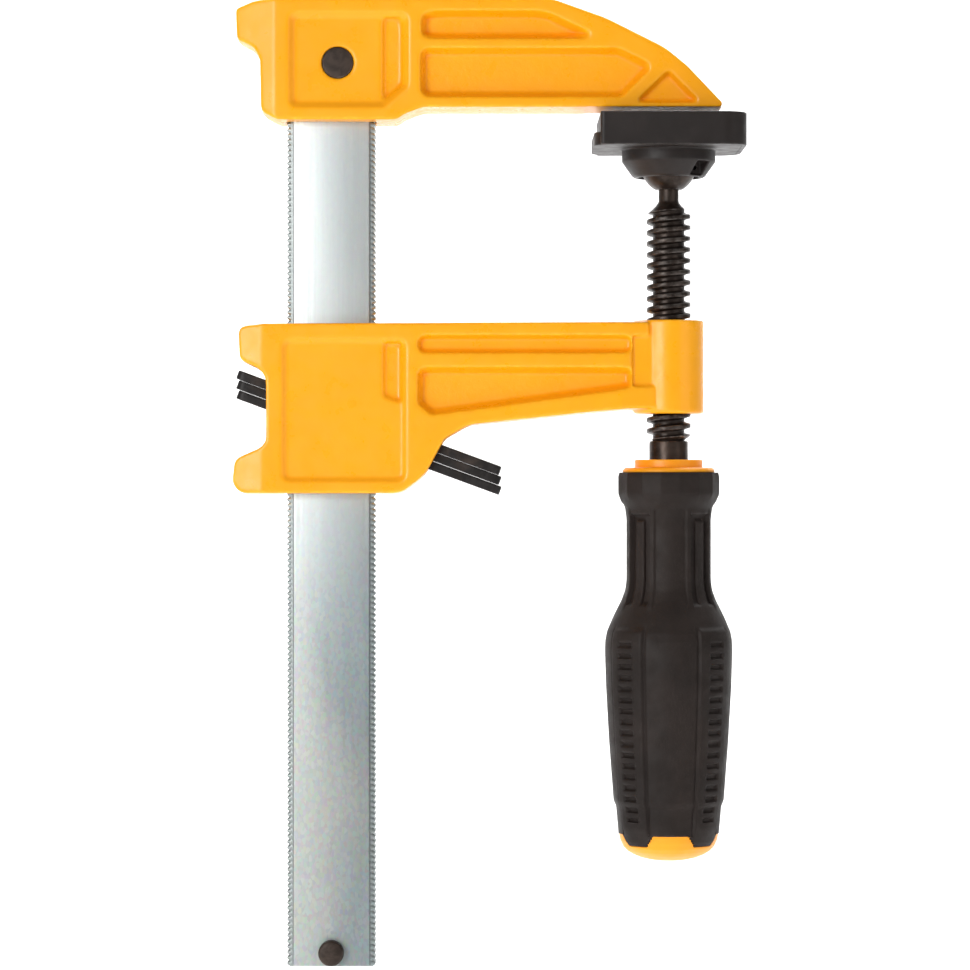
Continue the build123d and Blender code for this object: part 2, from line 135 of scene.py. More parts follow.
def ring_mesh(name, rows, wrap=False, caps=False, sharp_angle=40):
    """A mesh through rows of points in mm. Each row is a closed ring of the same number of points."""
    rows = np.asarray(rows, float)
    count, around = rows.shape[:2]
    index = np.arange(count * around).reshape(count, around)
    upper = index if wrap else index[:-1]
    lower = np.roll(index, -1, axis=0) if wrap else index[1:]
    quads = np.stack([upper, np.roll(upper, -1, 1), np.roll(lower, -1, 1), lower], -1).reshape(-1, 4).tolist()
    if caps:
        quads += [index[0].tolist(), index[-1].tolist()]
    mesh = bpy.data.meshes.new(name)
    mesh.from_pydata((rows.reshape(-1, 3) * MM).tolist(), [], quads)
    return tidied(mesh, sharp_angle)


def rounded(points, radius, steps=4):
    """A line of points with each inner corner rounded to about the given radius."""
    points = [np.array(p, float) for p in points]
    line = [points[0]]
    for before, corner, after in zip(points, points[1:], points[2:]):
        reach = min(radius, 0.45 * np.linalg.norm(before - corner), 0.45 * np.linalg.norm(after - corner))
        start = corner + (before - corner) / np.linalg.norm(before - corner) * reach
        end = corner + (after - corner) / np.linalg.norm(after - corner) * reach
        for t in np.linspace(0, 1, steps + 1):
            line.append((1 - t) ** 2 * start + 2 * t * (1 - t) * corner + t * t * end)
    return np.array(line + [points[-1]])


def lathe(name, profile, segments):
    """A turned mesh about the screw's axis. The profile is radius and Z, and starts and ends on the axis."""
    turn = np.linspace(0, 2 * math.pi, segments, endpoint=False)
    rows = [[(r * math.cos(a), r * math.sin(a), z) for a in turn] for r, z in profile]
    return ring_mesh(name, rows)


def softened(node, name, voxel, rounds):
    """A CAD node's surface with the soft edges of a casting or a moulding; voxel is in mm."""
    source = bpy.data.objects.new(name + "_source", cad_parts[node].data.copy())
    bpy.context.scene.collection.objects.link(source)
    tidied(source.data, 180)
    remesh = source.modifiers.new("voxels", "REMESH")
    remesh.mode = "VOXEL"
    remesh.voxel_size = voxel * MM
    smooth = source.modifiers.new("soft edges", "SMOOTH")
    smooth.factor = 0.5
    smooth.iterations = rounds
    graph = bpy.context.evaluated_depsgraph_get()
    mesh = bpy.data.meshes.new_from_object(source.evaluated_get(graph))
    mesh.name = name
    bpy.data.objects.remove(source)
    mesh.materials.clear()
    mesh.polygons.foreach_set("use_smooth", [True] * len(mesh.polygons))
    return mesh


def mark_curvature(mesh, reach):
    """Stores how convex ("edge") and how hollow ("cavity") the surface is at each point, from 0 to 1, as felt
    over a few rings of neighbours; reach is the radius in mm that counts as fully curved."""
    count = len(mesh.vertices)
    place = np.empty(count * 3)
    mesh.vertices.foreach_get("co", place)
    place = place.reshape(-1, 3) / MM
    normal = np.empty(count * 3)
    mesh.vertex_normals.foreach_get("vector", normal)
    normal = normal.reshape(-1, 3)
    ends = np.empty(len(mesh.edges) * 2, int)
    mesh.edges.foreach_get("vertices", ends)
    a, b = ends.reshape(-1, 2).T
    gap = place[b] - place[a]
    length = np.maximum(np.linalg.norm(gap, axis=1), 1e-6)
    bend = np.einsum("ij,ij->i", normal[b] - normal[a], gap) / length ** 2
    share = np.bincount(a, minlength=count) + np.bincount(b, minlength=count)
    share = np.maximum(share, 1)
    curve = (np.bincount(a, bend, count) + np.bincount(b, bend, count)) / share
    for _ in range(3):
        around = np.bincount(a, curve[b], count) + np.bincount(b, curve[a], count)
        curve = 0.5 * curve + 0.5 * around / share
    for name, value in (("edge", curve), ("cavity", -curve)):
        attribute = mesh.attributes.new(name, "FLOAT", "POINT")
        attribute.data.foreach_set("value", np.clip(value * reach, 0, 1).astype(np.float32))


# ---------------------------------------------------------------- pieces

def bar_mesh():
    """The bar: raised flat between two serrated strips, whose teeth are nipped at the corners."""
    low, high = box_mm("bar")
    middle = (low[0] + high[0]) / 2
    half, flat = BAR_WIDTH / 2, FLAT_WIDTH / 2
    thick, strip = BAR_THICKNESS / 2, STRIP_THICKNESS / 2
    rows = []
    teeth = int((high[2] - low[2]) / TOOTH_PITCH)
    # Height along the tooth pitch, and how much of the tooth's depth is cut away there
    steps = [(0.0, 1.0), (0.10, 0.92), (0.30, 0.12), (0.42, 0.0), (0.58, 0.0), (0.70, 0.12), (0.90, 0.92)]
    stations = [((tooth + at) * TOOTH_PITCH, cut) for tooth in range(teeth) for at, cut in steps]
    stations = [(z, cut) for z, cut in stations if z < high[2] - low[2] - 0.05] + [(high[2] - low[2], 1.0)]
    for z, cut in stations:
        outer = half - TOOTH_DEPTH * cut
        nip = 0.12 + 0.5 * cut
        quarter = [
            (0, thick), (flat - 0.42, thick), (flat - 0.16, thick - 0.07), (flat, thick - 0.3),
            (flat + 0.02, strip + 0.06), (flat + 0.12, strip), (half - 1.15, strip),
            (outer - 0.2, strip - nip * 0.55), (outer, strip - nip - 0.15), (outer, 0),
        ]
        right = quarter + [(x, -y) for x, y in reversed(quarter[:-1])]
        ring = right + [(-x, y) for x, y in reversed(right[1:-1])]
        rows.append([(middle + x, y, low[2] + z) for x, y in ring])
    return ring_mesh("bar_zinc", rows, caps=True, sharp_angle=50)


def screw_mesh():
    """The screw's thread, as a grid that follows the helix, with rounded crests and roots."""
    segments = 96
    half_crest = CREST_WIDTH / 2
    half_root = half_crest + (THREAD_RADIUS - THREAD_ROOT) * FLANK
    section = rounded([
        (THREAD_ROOT, -THREAD_PITCH / 2), (THREAD_ROOT, -half_root), (THREAD_RADIUS, -half_crest),
        (THREAD_RADIUS, half_crest), (THREAD_ROOT, half_root), (THREAD_ROOT, THREAD_PITCH / 2),
    ], 0.28, 3)[:-1]
    rows = []
    for turn in range(-1, THREAD_TURNS + 1):
        for radius, along in section:
            ring = []
            for step in range(segments):
                share = step / segments
                z = THREAD_BOTTOM + (turn + share) * THREAD_PITCH + along
                fade = min(1.0, max(0.0, (z - THREAD_BOTTOM + RUN_OUT_START) / RUN_OUT_LENGTH))
                r = THREAD_ROOT + (radius - THREAD_ROOT) * fade
                r = min(r, max(NECK_RADIUS - 0.3, NECK_RADIUS + CONE_SLOPE * (CONE_TOP - z)))
                angle = 2 * math.pi * share
                ring.append((r * math.cos(angle), r * math.sin(angle), z))
            rows.append(ring)
    return open_helix("spindle_thread", rows)


def open_helix(name, rows):
    """Joins rows of a helical grid, whose last column meets the first column one pitch further on."""
    rows = np.asarray(rows, float)
    count, around = rows.shape[:2]
    per_turn = count // (THREAD_TURNS + 2)
    index = np.arange(count * around).reshape(count, around)
    quads = []
    for row in range(count - 1):
        for step in range(around):
            far, next_step = (row, step + 1) if step + 1 < around else (row + per_turn, 0)
            if far + 1 < count:
                quads.append((index[row, step], index[far, next_step],
                              index[far + 1, next_step], index[row + 1, step]))
    mesh = bpy.data.meshes.new(name)
    mesh.from_pydata((rows.reshape(-1, 3) * MM).tolist(), [], [[int(i) for i in q] for q in quads])
    mesh.polygons.foreach_set("use_smooth", [True] * len(mesh.polygons))
    return mesh


def spindle_mesh():
    """Thread, neck, riveted button and shank of the screw in one mesh."""
    low, high = box_mm("spindle")
    core = rounded([
        (0, high[2]), (BUTTON_RADIUS, high[2]), (BUTTON_RADIUS, BUTTON_BOTTOM), (NECK_RADIUS, BUTTON_BOTTOM),
        (NECK_RADIUS, NECK_BOTTOM), (CORE_TOP_RADIUS, CORE_TOP), (CORE_RADIUS, SHANK_TOP),
        (SHANK_RADIUS, SHANK_TOP), (SHANK_RADIUS, low[2]), (0, low[2]),
    ], 0.5)
    mesh = lathe("spindle_core", core, segments=72)
    work = bmesh.new()
    work.from_mesh(mesh)
    work.from_mesh(screw_mesh())
    work.to_mesh(mesh)
    work.free()
    mesh.name = "spindle_black"
    return mesh


GRIP_PROFILE = np.array([
    (-104.6, 14.3), (-105.4, 14.7), (-111.0, 14.7), (-113.0, 13.7), (-114.8, 12.9), (-118.0, 12.5),
    (-135.5, 12.5), (-138.5, 12.85), (-141.5, 13.8), (-146.6, 16.2), (-150.4, 17.8), (-153.0, 18.3),
    (-156.0, 18.4), (-166.0, 18.1), (-182.0, 17.2), (-199.2, 15.9), (-200.6, 15.2), (-208.5, 14.5),
])
DOME_DROP = [208.5, 210.5, 212.4, 213.6, 214.6, 215.5, 216.2, 216.6]
DOME_RADIUS = [14.5, 14.0, 13.1, 11.9, 10.3, 8.1, 5.0, 0.0]
TAB_START, TAB_FLANK = 21.5, 9.0

# The grip's details. In the functions below, each smoothstep runs between two angles q in degrees or between
# two heights z in mm, and a share is 0 off the detail and 1 on it.
RIM_FLAT, RIM_SHRINK = 22.5, 0.985
PANEL_DEPTH, PANEL_TOP, PANEL_ARCH = 0.32, -113.2, 2.2 / 22 ** 2
CHANNEL_DEPTH, RAIL_SHARE = 1.1, 0.8
LIP_HEIGHT, STRIP_HEIGHT, GROOVE_DEPTH = 0.25, 0.55, 0.3
NOTCH_DEPTH, NOTCH_PITCH, NOTCH_TOP, NOTCH_BOTTOM = 0.75, 3.15, -153.0, -204.5


def dome_radius(z):
    """Radius of the handle's rounded end at a height below the grip."""
    return np.interp(-z, DOME_DROP, DOME_RADIUS)


def tab_reach(q):
    """How far down the grip's edge goes, from 0 between the tabs to 1 on a tab."""
    return np.clip((q - TAB_START) / TAB_FLANK, 0, 1)


def rim_flats(q, z):
    """Scale of the radius on the sixteen flats round the rim."""
    facet = (q + RIM_FLAT / 2) % RIM_FLAT - RIM_FLAT / 2
    return 1 + smoothstep(-113.2, -110.8, z) * (RIM_SHRINK / np.cos(np.radians(facet)) - 1)


def neck_panel(q, z):
    """Share of the arched panel down the neck."""
    arch = PANEL_TOP - PANEL_ARCH * q ** 2
    return smoothstep(22.5, 20.0, q) * smoothstep(arch + 0.4, arch - 0.6, z) * smoothstep(-146, -136, z)


def neck_channel(q, z):
    """Share of the channel with a rail in it, closed by a foot at the lower end."""
    inside = smoothstep(27.0, 29.0, q) * smoothstep(-116.2, -117.2, z) * smoothstep(-143.0, -141.8, z)
    rail = smoothstep(37.0, 38.6, q) * smoothstep(-117.8, -118.8, z)
    return inside * (1 - RAIL_SHARE * rail)


def neck_lip(q, z):
    """Share of the raised border between panel and channel."""
    across = smoothstep(20.5, 22.5, q) * smoothstep(29.0, 27.0, q)
    return across * smoothstep(-114.5, -116.5, z) * smoothstep(-144.5, -142.5, z)


def raised_strip(q, z):
    """Share of the raised strip down the grip's body."""
    return smoothstep(26.0, 28.0, q) * smoothstep(-148.6, -150.2, z) * smoothstep(-209.5, -206.0, z)


def strip_groove(q, z):
    """Share of the groove beside a strip."""
    return smoothstep(23.6, 25.2, q) * smoothstep(26.8, 25.6, q) * smoothstep(-148.0, -151.0, z)


def strip_notches(q, z):
    """Share of the notches down a strip's middle."""
    phase = ((NOTCH_TOP - z) / NOTCH_PITCH) % 1.0
    notch = smoothstep(0.0, 0.12, phase) * smoothstep(0.56, 0.40, phase)
    rows = smoothstep(NOTCH_TOP + 0.1, NOTCH_TOP - 0.1, z)
    rows = rows * smoothstep(NOTCH_BOTTOM - 0.1, NOTCH_BOTTOM + 0.1, z)
    return notch * rows * smoothstep(36.6, 37.8, q)


def grip_radius(q, z):
    """The grip's surface. q is the angle from the middle of the nearest side panel, 45 degrees on a strip."""
    order = GRIP_PROFILE[::-1]
    base = sum(np.interp(z + shift, order[:, 0], order[:, 1]) for shift in (-0.5, -0.2, 0.2, 0.5)) / 4
    base = base * rim_flats(q, z) - PANEL_DEPTH * neck_panel(q, z)
    base = base - CHANNEL_DEPTH * neck_channel(q, z) + LIP_HEIGHT * neck_lip(q, z)
    base = base + STRIP_HEIGHT * raised_strip(q, z) - GROOVE_DEPTH * strip_groove(q, z)
    return base - NOTCH_DEPTH * strip_notches(q, z)


def around_handle(columns):
    """Each column's angle q from the nearest side panel, and its direction in X and Y."""
    phi = np.arange(columns) * 360.0 / columns
    return np.abs((phi + 45) % 90 - 45), np.sin(np.radians(phi)), -np.cos(np.radians(phi))


def grip_mesh():
    """The overmoulded grip, down to its four tongues."""
    columns, row_step = 360, 0.34
    q, x, y = around_handle(columns)
    rows = []

    def ring(radius, z):
        rows.append(np.stack([radius * x, radius * y, np.broadcast_to(z, radius.shape)], -1))

    inner = np.full(columns, GRIP_BORE)
    ring(inner, np.full(columns, GRIP_TOP))
    for z in np.linspace(GRIP_TOP, GRIP_END, int((GRIP_TOP - GRIP_END) / row_step)):
        ring(grip_radius(q, np.full(columns, z)), z)
    reach = tab_reach(q)
    # Down the outside of the tongues, back up behind them, and across to the bore
    for t in np.linspace(0.12, 1.0, 10):
        z = GRIP_END - (GRIP_END - TAB_END) * t * reach - 0.05 * t
        ring(dome_radius(z) + 0.06 * (1 - t), z)
    for t in np.linspace(1.0, 0.0, 4):
        z = GRIP_END - (GRIP_END - TAB_END) * t * reach
        ring(np.minimum(dome_radius(z), 14.4) - 1.2 - 0.4 * (1 - t), z)
    ring(inner, np.full(columns, GRIP_END))
    return ring_mesh("grip_overmould", rows, wrap=True, sharp_angle=55)


def core_mesh():
    """The yellow core: stepped collar, stem, and domed end with seats for the grip's tongues."""
    chamfer, clear, shoulder_radius = 0.7, 0.02, 12.0
    collar = rounded([
        (CORE_BORE, COLLAR_TOP), (COLLAR_RADIUS, COLLAR_TOP), (COLLAR_RADIUS, FLANGE_TOP),
        (FLANGE_RADIUS - chamfer, FLANGE_TOP), (FLANGE_RADIUS, FLANGE_TOP - chamfer),
        (FLANGE_RADIUS, GRIP_TOP + clear), (STEM_RADIUS, GRIP_TOP + clear), (STEM_RADIUS, GRIP_END + 0.05),
    ], 0.35, 3)
    columns = 180
    q, x, y = around_handle(columns)
    turned = [(0, CORE_BORE_END), (CORE_BORE, CORE_BORE_END), *collar, (shoulder_radius, GRIP_END)]
    rows = [[(r * a, r * b, z) for a, b in zip(x, y)] for r, z in turned]
    beside_tabs = np.linspace(GRIP_END - clear, -212.4, 16)
    below_tabs = np.linspace(-212.7, HANDLE_END + 0.01, 22)
    for z in np.concatenate([beside_tabs, below_tabs]):
        radius = dome_radius(np.full(columns, z)) - 0.12 * smoothstep(-210.0, -208.6, z)
        tab_end = GRIP_END - (GRIP_END - TAB_END) * tab_reach(q)
        seated = smoothstep(tab_end - 0.12, tab_end + 0.12, z) * (tab_reach(q) > 0)
        radius = radius - seated * np.maximum(radius - TAB_SEAT_RADIUS, 0)
        rows.append(np.stack([radius * x, radius * y, np.full(columns, z)], -1).tolist())
    rows.append([(0.0, 0.0, HANDLE_END)] * columns)
    return ring_mesh("core_yellow", rows, sharp_angle=50)


def pin_mesh(name, node, chamfer, crown):
    """A pin along Y with chamfered, slightly crowned ends."""
    low, high = box_mm(node)
    centre = (low + high) / 2
    radius, half = (high[0] - low[0]) / 2, (high[1] - low[1]) / 2
    side = rounded([(0, half), (radius * 0.55, half - crown * 0.3), (radius - chamfer, half - crown),
                    (radius, half - crown - chamfer), (radius, 0)], 0.25, 3)
    profile = [(r, h) for r, h in side] + [(r, -h) for r, h in reversed(side[:-1])]
    turn = np.linspace(0, 2 * math.pi, 64, endpoint=False)
    rows = [[(centre[0] + r * math.cos(a), centre[1] + h, centre[2] + r * math.sin(a)) for a in turn]
            for r, h in profile]
    return ring_mesh(name, rows, sharp_angle=60)


def spring_mesh():
    """The clutch spring: a round wire helix with closed end coils."""
    low, high = box_mm("clutch_spring")
    centre = (low[0] + high[0]) / 2
    coil = (high[0] - low[0]) / 2 - SPRING_WIRE
    rows = []
    steps, around, end_gap = 408, 12, 0.05
    bottom, top = low[2] + SPRING_WIRE + end_gap, high[2] - SPRING_WIRE - end_gap
    closed = CLOSED_TURNS / SPRING_TURNS
    for step in range(steps + 1):
        t = step / steps
        angle = 2 * math.pi * SPRING_TURNS * t
        straight = np.clip((t - closed) / (1 - 2 * closed), 0, 1)
        lift = 0.85 * straight + 0.15 * smoothstep(closed * 0.3, 1 - closed * 0.3, t)
        z = bottom + (top - bottom) * lift
        outward = np.array([math.cos(angle), math.sin(angle), 0])
        up = np.array([0, 0, 1.0])
        middle = np.array([centre, 0, z]) + coil * outward
        rows.append([middle + SPRING_WIRE * (math.cos(b) * outward + math.sin(b) * up)
                     for b in np.linspace(0, 2 * math.pi, around, endpoint=False)])
    return ring_mesh("spring_coil", rows, caps=True, sharp_angle=50)


# ---------------------------------------------------------------- materials

class Finish:
    """One procedural material. Texture scales are features per metre, in the clamp's own coordinates."""

    def __init__(self, name):
        self.material = bpy.data.materials.new(name)
        self.material.use_nodes = True
        self.tree = self.material.node_tree
        self.bsdf = self.tree.nodes["Principled BSDF"]
        self.place = self.add("ShaderNodeTexCoord").outputs["Object"]
        self.normal = None

    def add(self, kind, **settings):
        node = self.tree.nodes.new(kind)
        for key, value in settings.items():
            setattr(node, key, value)
        return node

    def feed(self, socket, value):
        if isinstance(value, bpy.types.NodeSocket):
            self.tree.links.new(value, socket)
        elif isinstance(value, tuple) and len(value) == 3 and len(socket.default_value) == 4:
            socket.default_value = (*value, 1)
        else:
            socket.default_value = value

    def stretch(self, *scale):
        node = self.add("ShaderNodeMapping")
        self.feed(node.inputs["Vector"], self.place)
        node.inputs["Scale"].default_value = scale
        return node.outputs["Vector"]

    def noise(self, scale, detail=3.0, rough=0.5, place=None, warp=0.0):
        node = self.add("ShaderNodeTexNoise")
        self.feed(node.inputs["Vector"], place or self.place)
        node.inputs["Scale"].default_value = scale
        node.inputs["Detail"].default_value = detail
        node.inputs["Roughness"].default_value = rough
        node.inputs["Distortion"].default_value = warp
        return node.outputs["Fac"]

    def cells(self, scale, place=None, output="Distance"):
        node = self.add("ShaderNodeTexVoronoi")
        self.feed(node.inputs["Vector"], place or self.place)
        node.inputs["Scale"].default_value = scale
        return node.outputs[output]

    def span(self, value, low, high, to_low=0.0, to_high=1.0):
        node = self.add("ShaderNodeMapRange", interpolation_type="SMOOTHSTEP")
        self.feed(node.inputs["Value"], value)
        for key, number in (("From Min", low), ("From Max", high), ("To Min", to_low), ("To Max", to_high)):
            node.inputs[key].default_value = number
        return node.outputs["Result"]

    def maths(self, operation, a, b=0.0):
        node = self.add("ShaderNodeMath", operation=operation)
        self.feed(node.inputs[0], a)
        self.feed(node.inputs[1], b)
        return node.outputs[0]

    def mix(self, share, a, b, blend="MIX"):
        node = self.add("ShaderNodeMix", data_type="RGBA", blend_type=blend)
        self.feed(node.inputs["Factor"], share)
        self.feed(node.inputs[6], a)
        self.feed(node.inputs[7], b)
        return node.outputs[2]

    def felt(self, name):
        return self.add("ShaderNodeAttribute", attribute_name=name).outputs["Fac"]

    def coordinate(self, axis):
        node = self.add("ShaderNodeSeparateXYZ")
        self.feed(node.inputs[0], self.place)
        return node.outputs[axis]

    def bump(self, height, depth_mm, strength=1.0):
        node = self.add("ShaderNodeBump")
        node.inputs["Strength"].default_value = strength
        node.inputs["Distance"].default_value = depth_mm * MM
        self.feed(node.inputs["Height"], height)
        if self.normal is not None:
            self.feed(node.inputs["Normal"], self.normal)
        self.normal = node.outputs["Normal"]

    def finish(self, colour, roughness, **others):
        self.feed(self.bsdf.inputs["Base Color"], colour)
        self.feed(self.bsdf.inputs["Roughness"], roughness)
        for key, value in others.items():
            self.feed(self.bsdf.inputs[key.replace("_", " ")], value)
        if self.normal is not None:
            self.feed(self.bsdf.inputs["Normal"], self.normal)
        return self.material


def enamel():
    """Glossy yellow enamel over sand-cast iron, rougher in the pockets, with painted shade in the corners and
    painted highlights on the edges.
    """
    f = Finish("enamel_yellow")
    tone = f.span(f.noise(55, 3, 0.55), 0.35, 0.65)
    colour = f.mix(f.maths("MULTIPLY", tone, 0.35), YELLOW, DEEP_YELLOW)
    # Painted shade: the concave corners are mixed towards deeper orange
    corner_shade = f.span(f.felt("cavity"), 0.2, 1.0)
    colour = f.mix(f.maths("MULTIPLY", corner_shade, 0.45), colour, SHADE_ORANGE)
    # Painted highlight: the convex edges are mixed in patches towards paler yellow
    edge_highlight = f.span(f.felt("edge"), 0.25, 0.95)
    patchy = f.span(f.noise(260, 4, 0.6), 0.42, 0.62)
    colour = f.mix(f.maths("MULTIPLY", f.maths("MULTIPLY", edge_highlight, patchy), 0.55), colour, PALE_YELLOW)
    specks = f.span(f.cells(420), 0.055, 0.03)
    rare = f.span(f.noise(90, 2), 0.6, 0.68)
    colour = f.mix(f.maths("MULTIPLY", f.maths("MULTIPLY", specks, rare), 0.45), colour, (0.45, 0.17, 0.02))
    side = f.maths("ABSOLUTE", f.coordinate("Y"))
    pocket = f.span(side, 0.0094, 0.0078)
    f.bump(f.noise(420, 2, 0.5), 0.035)
    f.bump(f.noise(1500, 3, 0.6), 0.008)
    grit = f.maths("MULTIPLY", f.noise(720, 5, 0.68, warp=0.4), pocket)
    f.bump(grit, 0.11)
    rough = f.span(f.noise(180, 4, 0.6), 0.3, 0.7, 0.26, 0.40)
    return f.finish(colour, rough, Coat_Weight=0.05, Coat_Roughness=0.15, Specular_IOR_Level=0.36)


def zinc():
    """Bright zinc plate: fine spangle, drawn streaks, and faint warm and blue tints."""
    f = Finish("zinc_plate")
    height = f.coordinate("Z")
    # Painted shade: the plate's colour is darker towards the bar's free end
    low = f.span(height, -0.085, -0.17)
    base = f.mix(low, (0.55, 0.575, 0.56), (0.27, 0.305, 0.31))
    tint = f.noise(11, 2, 0.5, f.stretch(1.6, 1.0, 0.7), 0.3)
    base = f.mix(f.span(tint, 0.46, 0.66, 0.0, 0.25), base, (0.60, 0.56, 0.48))
    base = f.mix(f.span(tint, 0.52, 0.33, 0.0, 0.3), base, (0.36, 0.44, 0.49))
    spangle = f.cells(1300, f.stretch(1, 1, 0.6), output="Color")
    base = f.mix(f.span(low, 0.0, 1.0, 0.05, 0.16), base, spangle, "SOFT_LIGHT")
    streak = f.noise(900, 4, 0.7, f.stretch(1, 1, 0.02))
    base = f.mix(f.span(streak, 0.3, 0.75, 0.0, 0.16), base, (0.38, 0.40, 0.42))
    low_corner, high_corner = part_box("bar")
    across = f.maths("SUBTRACT", f.coordinate("X"), (low_corner[0] + high_corner[0]) / 2)
    strip = f.span(f.maths("ABSOLUTE", across), FLAT_WIDTH / 2 * MM, (FLAT_WIDTH / 2 + 0.1) * MM)
    base = f.mix(f.maths("MULTIPLY", strip, 0.7), base, (0.24, 0.27, 0.265))
    worn = f.span(f.felt("edge"), 0.3, 0.9)
    base = f.mix(f.maths("MULTIPLY", worn, 0.35), base, (0.85, 0.86, 0.85))
    # Painted shade: the bar's hollows, at the steps and tooth roots, are darkened
    step_shade = f.span(f.felt("cavity"), 0.1, 0.7)
    base = f.mix(f.maths("MULTIPLY", step_shade, 0.8), base, (0.16, 0.17, 0.18))
    f.bump(streak, 0.006)
    f.bump(f.noise(2600, 2, 0.5), 0.004)
    rough = f.span(streak, 0.3, 0.7, 0.42, 0.50)
    return f.finish(base, rough, Metallic=0.92, Anisotropic=0.3)


def blackened(name, tint, shine, rough_low, rough_high, wear, grain=1.0):
    """Black oxide on steel: brownish film, oily sheen, bare metal showing faintly on the edges."""
    f = Finish(name)
    film = f.noise(240, 4, 0.62, warp=0.5)
    colour = f.mix(f.span(film, 0.38, 0.66), tint, tuple(min(1, c * 1.9 + 0.006) for c in tint))
    brown = f.span(f.noise(70, 3, 0.6), 0.5, 0.68, 0.0, 0.45)
    colour = f.mix(brown, colour, (0.075, 0.048, 0.034))
    scuffed = f.maths("MULTIPLY", f.span(f.felt("edge"), 0.25, 0.9), f.span(f.noise(520, 4, 0.65), 0.4, 0.62))
    colour = f.mix(f.maths("MULTIPLY", scuffed, wear), colour, (0.34, 0.32, 0.30))
    f.bump(f.noise(650, 5, 0.65), 0.02 * grain)
    f.bump(f.noise(2300, 2, 0.5), 0.006 * grain)
    rough = f.span(f.noise(300, 4, 0.6), 0.3, 0.7, rough_low, rough_high)
    return f.finish(colour, rough, Metallic=shine, Specular_IOR_Level=0.3)


def bright_steel():
    """Bare drawn steel of the small inner pieces."""
    f = Finish("bright_steel")
    drawn = f.noise(1200, 4, 0.7, f.stretch(1, 1, 0.15))
    colour = f.mix(f.span(drawn, 0.3, 0.7), (0.52, 0.52, 0.52), (0.36, 0.36, 0.37))
    stain = f.span(f.noise(160, 3, 0.6), 0.52, 0.66, 0.0, 0.4)
    colour = f.mix(stain, colour, (0.22, 0.19, 0.16))
    f.bump(drawn, 0.008)
    return f.finish(colour, f.span(f.noise(500, 3), 0.3, 0.7, 0.22, 0.38), Metallic=1.0)


def moulded_black():
    """Fine-grained black nylon of the pad."""
    f = Finish("pad_nylon")
    tone = f.span(f.noise(80, 3, 0.55), 0.35, 0.68)
    colour = f.mix(tone, (0.0115, 0.0078, 0.0068), (0.017, 0.0122, 0.0108))
    rubbed = f.maths("MULTIPLY", f.span(f.felt("edge"), 0.2, 0.9), f.span(f.noise(380, 4, 0.6), 0.4, 0.64))
    colour = f.mix(f.maths("MULTIPLY", rubbed, 0.45), colour, (0.06, 0.052, 0.049))
    f.bump(f.noise(1900, 3, 0.6), 0.022)
    f.bump(f.noise(300, 2, 0.5), 0.02)
    return f.finish(colour, f.span(f.noise(240, 4, 0.6), 0.3, 0.7, 0.42, 0.56), Specular_IOR_Level=0.3)


def moulded_yellow():
    """Satin yellow plastic of the handle's core."""
    f = Finish("core_yellow")
    tone = f.span(f.noise(90, 3, 0.55), 0.35, 0.65)
    colour = f.mix(f.maths("MULTIPLY", tone, 0.3), (0.97, 0.36, 0.008), (0.92, 0.30, 0.006))
    # Painted shade: the concave corners are mixed towards deeper orange
    corner_shade = f.span(f.felt("cavity"), 0.1, 0.8)
    colour = f.mix(f.maths("MULTIPLY", corner_shade, 0.6), colour, SHADE_ORANGE)
    rubbed = f.span(f.felt("edge"), 0.3, 1.0)
    colour = f.mix(f.maths("MULTIPLY", rubbed, 0.3), colour, PALE_YELLOW)
    f.bump(f.noise(1700, 3, 0.55), 0.01)
    f.bump(f.noise(260, 2, 0.5), 0.02)
    rough = f.span(f.noise(220, 3, 0.6), 0.3, 0.7, 0.34, 0.46)
    return f.finish(colour, rough, Subsurface_Weight=0.04, Subsurface_Scale=0.002, Specular_IOR_Level=0.35)


def soft_rubber():
    """Matt black overmould with a fine spark-eroded grain."""
    f = Finish("grip_overmould")
    tone = f.span(f.noise(60, 3, 0.55), 0.34, 0.66)
    colour = f.mix(tone, (0.0105, 0.0062, 0.0046), (0.017, 0.0108, 0.0085))
    dust = f.maths("MULTIPLY", f.span(f.felt("cavity"), 0.15, 0.9), f.span(f.noise(300, 4, 0.65), 0.42, 0.68))
    colour = f.mix(f.maths("MULTIPLY", dust, 0.25), colour, (0.045, 0.037, 0.034))
    rubbed = f.maths("MULTIPLY", f.span(f.felt("edge"), 0.2, 0.9), f.span(f.noise(420, 3, 0.6), 0.35, 0.62))
    colour = f.mix(f.maths("MULTIPLY", rubbed, 0.5), colour, (0.05, 0.042, 0.039))
    f.bump(f.noise(2100, 4, 0.62), 0.045)
    f.bump(f.cells(1500), 0.012)
    rough = f.span(f.noise(170, 4, 0.6), 0.3, 0.7, 0.52, 0.68)
    return f.finish(colour, rough, Specular_IOR_Level=0.24, Sheen_Weight=0.01)


FINISHES = {
    "bar_steel": zinc(),
    "cast_paint": enamel(),
    "dark_steel": blackened("rivet_black", (0.022, 0.014, 0.010), 0.3, 0.42, 0.57, 0.25),
    "plate_steel": blackened("plate_black", (0.006, 0.0046, 0.0042), 0.15, 0.42, 0.56, 0.14),
    "screw_steel": blackened("screw_black", (0.017, 0.011, 0.008), 0.5, 0.28, 0.44, 0.5, 1.4),
    "spring_steel": bright_steel(),
    "pad_plastic": moulded_black(),
    "core_plastic": moulded_yellow(),
    "grip_rubber": soft_rubber(),
}

# Voxel in mm and rounds of smoothing
CASTING, PLATE, TURNED = (0.42, 9), (0.27, 3), (0.2, 2)
PLATES = [("top", "upper"), ("middle", "centre"), ("bottom", "lower")]

